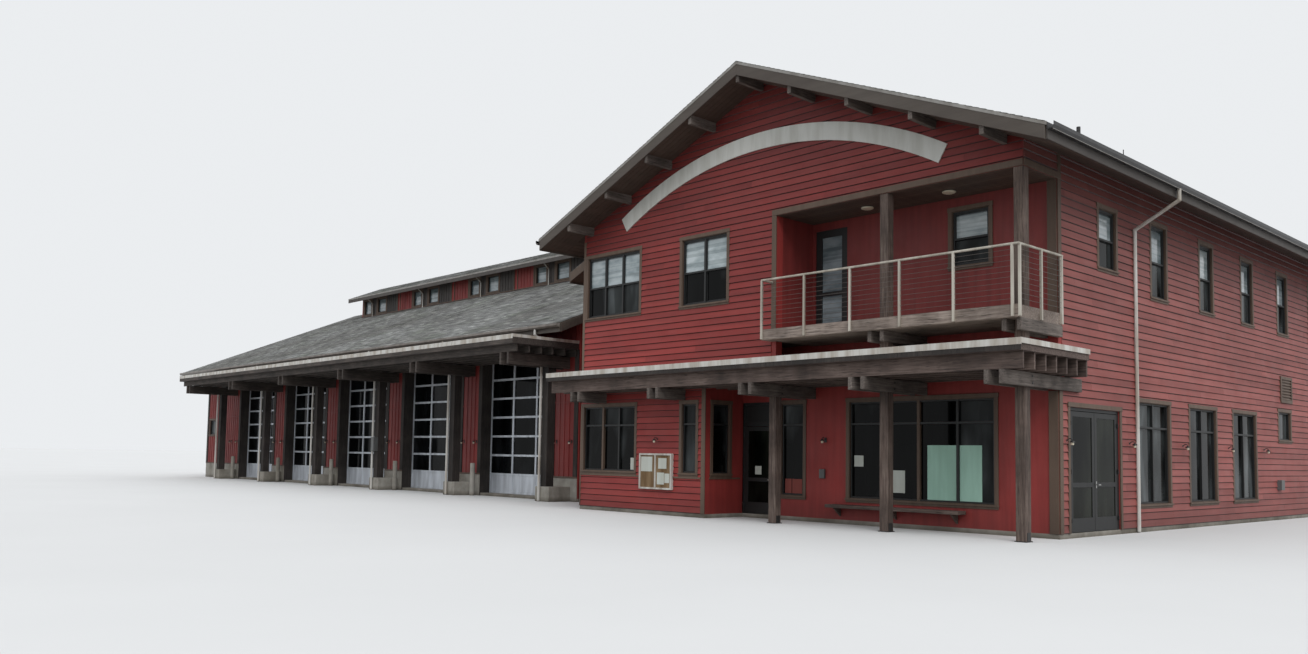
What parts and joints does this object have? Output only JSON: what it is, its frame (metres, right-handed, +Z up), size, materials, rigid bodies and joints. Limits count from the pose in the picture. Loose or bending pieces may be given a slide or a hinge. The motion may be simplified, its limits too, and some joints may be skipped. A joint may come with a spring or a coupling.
{
  "type": "fire station building, half-size scale model",
  "caption": "Red timber fire station with a gabled two-storey block, timber canopies, balcony, and a long wing of glazed sectional bay doors under a raised roof.",
  "frame": {"origin": "centre of the bounding box's bottom, on the ground", "axes": "+X to the right along the street front, +Y from the street to the back, +Z up"},
  "size_m": [23.473, 10.479, 5.1455],
  "materials": {
    "concrete": "cast, slightly stained",
    "timber_floor": "planed",
    "red_boards": "painted lap boards, matt",
    "ceiling_board": "matt",
    "shingle_roof": "granular shingles",
    "taupe_trim": "painted, matt",
    "timber": "weathered",
    "dark_timber": "dark stained",
    "white_metal": "painted",
    "dark_metal": "painted, satin",
    "bare_steel": "brushed",
    "door_metal": "satin",
    "sign_face": "painted, matt",
    "window_glass": "clear"
  },
  "bodies": {
    "building": {"floor_slab": "concrete", "upper_floor": "timber_floor", "front_wall": "red_boards", "entry_side_wall": "red_boards", "entry_wall_over_door": "red_boards", "recess_wall": "red_boards", "loggia_walls": "red_boards", "loggia_ceiling": "ceiling_board", "side_wall_front": "red_boards", "side_wall_over_door": "red_boards", "side_wall_rear": "red_boards", "rear_wall": "red_boards", "left_wall": "red_boards", "roof_left": "shingle_roof", "roof_right": "shingle_roof", "roof_fascia": "taupe_trim", "roof_outlookers": "timber", "rainwater": "white_metal", "timber_posts": "timber", "canopy_roof": "timber", "canopy_joists": "timber", "timber_beams": "timber", "balcony_deck": "timber", "balcony_rail": "dark_metal", "window_frames": "taupe_trim", "window_glass": "window_glass", "trim_boards": "taupe_trim", "door_frames": "dark_metal", "sign_board": "sign_face", "notice_board": "timber", "window_shelf": "timber", "wall_lamps": "dark_metal", "wing_front_wall": "red_boards", "wing_left_wall": "red_boards", "wing_rear_wall": "red_boards", "link_wall": "red_boards", "wing_roof_left": "shingle_roof", "wing_roof_right": "shingle_roof", "wing_roof_front": "shingle_roof", "wing_roof_back": "shingle_roof", "monitor_walls": "red_boards", "monitor_roof": "shingle_roof", "bay_doors": "door_metal", "bay_glass": "window_glass", "wing_posts": "dark_timber", "concrete_bases": "concrete", "wing_canopy": "timber", "bollards": "concrete", "side_louvre": "taupe_trim", "wall_boxes": "dark_metal", "roof_pipes": "dark_metal"},
    "entry_leaf": {"entry_door": "dark_metal", "entry_lever": "bare_steel"},
    "side_leaf_left": {"side_door_left": "dark_metal"},
    "side_leaf_right": {"side_door_right": "dark_metal", "side_lever": "bare_steel"}
  },
  "joints": [
    {"name": "entry_door_hinge", "type": "hinge", "parent": "building", "child": "entry_leaf", "pos_m": [7.417, -4.1145, 0.551], "axis": [0, 0, -1], "range_deg": [0, 90]},
    {"name": "side_door_left_hinge", "type": "hinge", "parent": "building", "child": "side_leaf_left", "pos_m": [11.2415, -3.881, 0.611], "axis": [0, 0, -1], "range_deg": [0, 90]},
    {"name": "side_door_right_hinge", "type": "hinge", "parent": "building", "child": "side_leaf_right", "pos_m": [11.2415, -2.873, 0.611], "axis": [0, 0, 1], "range_deg": [0, 90]}
  ]
}
